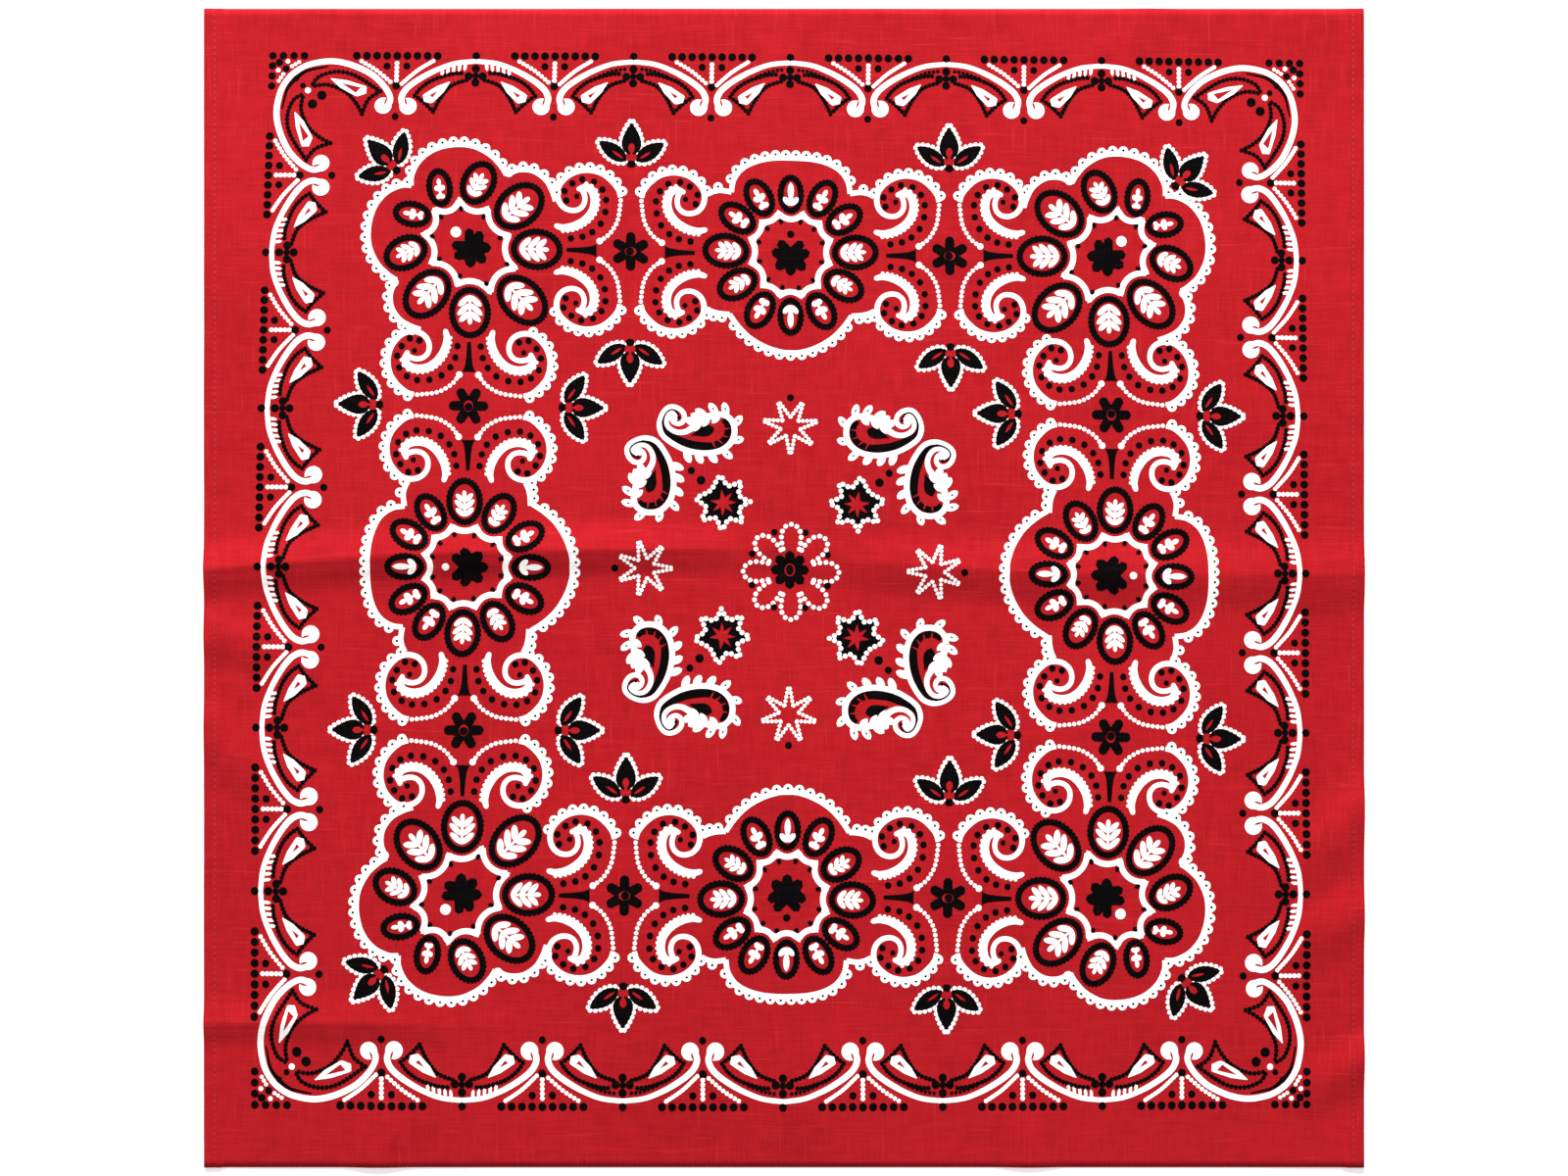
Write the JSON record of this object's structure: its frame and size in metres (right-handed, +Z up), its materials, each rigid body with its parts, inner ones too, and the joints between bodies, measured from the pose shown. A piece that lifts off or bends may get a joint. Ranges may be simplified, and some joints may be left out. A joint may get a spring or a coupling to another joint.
{
  "type": "bandana",
  "caption": "Square cotton bandana with a paisley and flower print, opened out flat and face up, with soft fold creases and a turned hem along two edges.",
  "frame": {"origin": "middle of the square, on the surface that the cloth lies on", "axes": "+Z up out of the printed face, +X towards the right-hand hem, +Y towards the far woven edge"},
  "size_m": [0.559, 0.559, 0.0053],
  "materials": {
    "red_cotton": "plain-woven cotton dyed red, dull, with a fine crossed thread",
    "white_print": "undyed cotton left white by the print, dull",
    "black_print": "black pigment printed on cotton, dull",
    "red_thread": "twisted cotton sewing thread, slightly glossy"
  },
  "bodies": {
    "root": {"panel": "red_cotton", "hem_left": "red_cotton", "hem_right": "red_cotton"}
  },
  "joints": []
}
